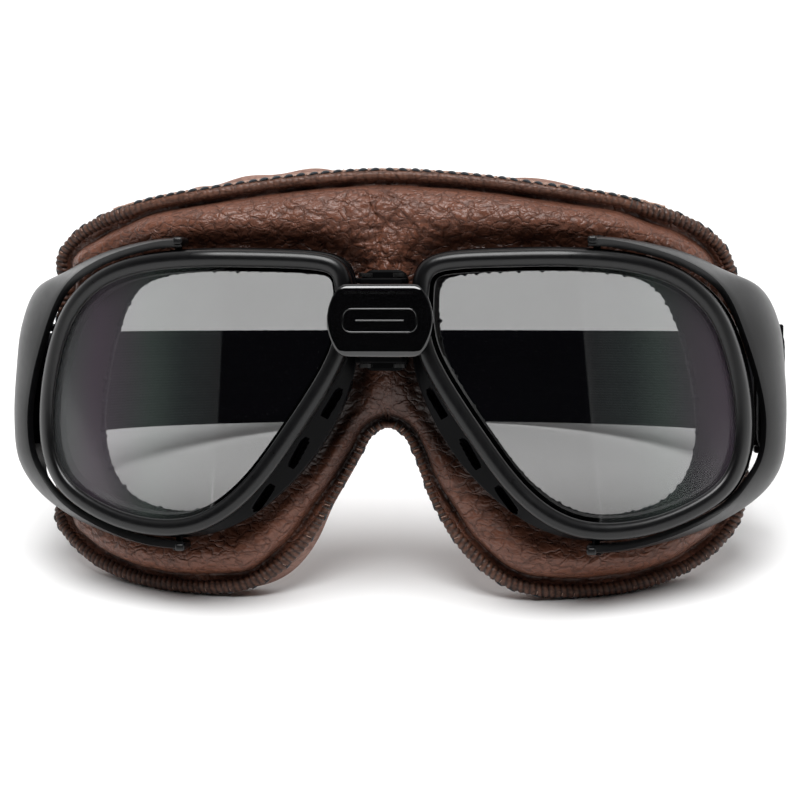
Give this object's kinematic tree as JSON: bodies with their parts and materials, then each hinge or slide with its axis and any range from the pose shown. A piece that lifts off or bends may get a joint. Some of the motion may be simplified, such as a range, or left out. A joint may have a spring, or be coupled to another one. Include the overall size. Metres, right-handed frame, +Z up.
{
  "type": "motorcycle goggles",
  "caption": "Hinged motorcycle goggles with split bent lenses, side wings, a padded leather face cushion with a whip-stitched seam, and an elastic head strap.",
  "frame": {"origin": "centre of the bounding box on the surface that the goggles stand on", "axes": "+Z up, -Y the way the lenses face (leaned back a little), +X to the right as seen from the front"},
  "size_m": [0.1942, 0.1738, 0.1013],
  "materials": {
    "gloss": "gloss black",
    "frame_matt": "matt black",
    "rim_satin": "satin black",
    "steel": "plain steel",
    "lens": "smoke tint, smooth",
    "leather": "brown pebbled leather, satin",
    "lining": "lighter smooth leather",
    "foam": "dark open-cell foam",
    "piping": "rolled seam with whip stitches in dark thread",
    "webbing": "dark navy-black ribbed elastic webbing"
  },
  "bodies": {
    "bridge_and_cushion": {"bridge_front_cover": "gloss", "bridge_hinge_bracket": "frame_matt", "cover_rivet_upper": "steel", "cover_rivet_lower": "steel", "left_hinge_pin": "steel", "right_hinge_pin": "steel", "cushion_front_leather": "leather", "cushion_foam_core": "foam", "cushion_back_lining": "lining", "cushion_seam_piping": "piping", "elastic_strap": "webbing"},
    "left_eyepiece": {"left_lens": "lens", "left_lens_rim": "rim_satin", "left_base_frame": "frame_matt", "left_upper_wing_pin": "frame_matt", "left_lower_wing_pin": "frame_matt"},
    "left_wing": {"left_side_wing": "rim_satin"},
    "left_slider": {"left_strap_slider": "frame_matt"},
    "right_eyepiece": {"right_lens": "lens", "right_lens_rim": "rim_satin", "right_base_frame": "frame_matt", "right_upper_wing_pin": "frame_matt", "right_lower_wing_pin": "frame_matt"},
    "right_wing": {"right_side_wing": "rim_satin"},
    "right_slider": {"right_strap_slider": "frame_matt"}
  },
  "joints": [
    {"name": "left_fold", "type": "hinge", "parent": "bridge_and_cushion", "child": "left_eyepiece", "pos_m": [-0.004, -0.07296, 0.07037], "axis": [0, -0.2402, -0.9707], "range_deg": [0, 25], "deforming": ["cushion_front_leather", "cushion_foam_core", "cushion_back_lining", "cushion_seam_piping", "elastic_strap"]},
    {"name": "left_wing_swing", "type": "hinge", "parent": "left_eyepiece", "child": "left_wing", "pos_m": [-0.05, -0.06509, 0.06842], "axis": [0, -0.2402, -0.9707], "range_deg": [-6, 2], "deforming": ["elastic_strap"]},
    {"name": "left_slider_travel", "type": "slide", "parent": "left_eyepiece", "child": "left_slider", "axis": [0, 0.9707, -0.2402], "range_m": [0, 0.016]},
    {"name": "right_fold", "type": "hinge", "parent": "bridge_and_cushion", "child": "right_eyepiece", "pos_m": [0.004, -0.07296, 0.07037], "axis": [0, 0.2402, 0.9707], "range_deg": [0, 25], "deforming": ["cushion_front_leather", "cushion_foam_core", "cushion_back_lining", "cushion_seam_piping", "elastic_strap"]},
    {"name": "right_wing_swing", "type": "hinge", "parent": "right_eyepiece", "child": "right_wing", "pos_m": [0.05, -0.06509, 0.06842], "axis": [0, 0.2402, 0.9707], "range_deg": [-6, 2], "deforming": ["elastic_strap"]},
    {"name": "right_slider_travel", "type": "slide", "parent": "right_eyepiece", "child": "right_slider", "axis": [0, 0.9707, -0.2402], "range_m": [0, 0.016]}
  ]
}
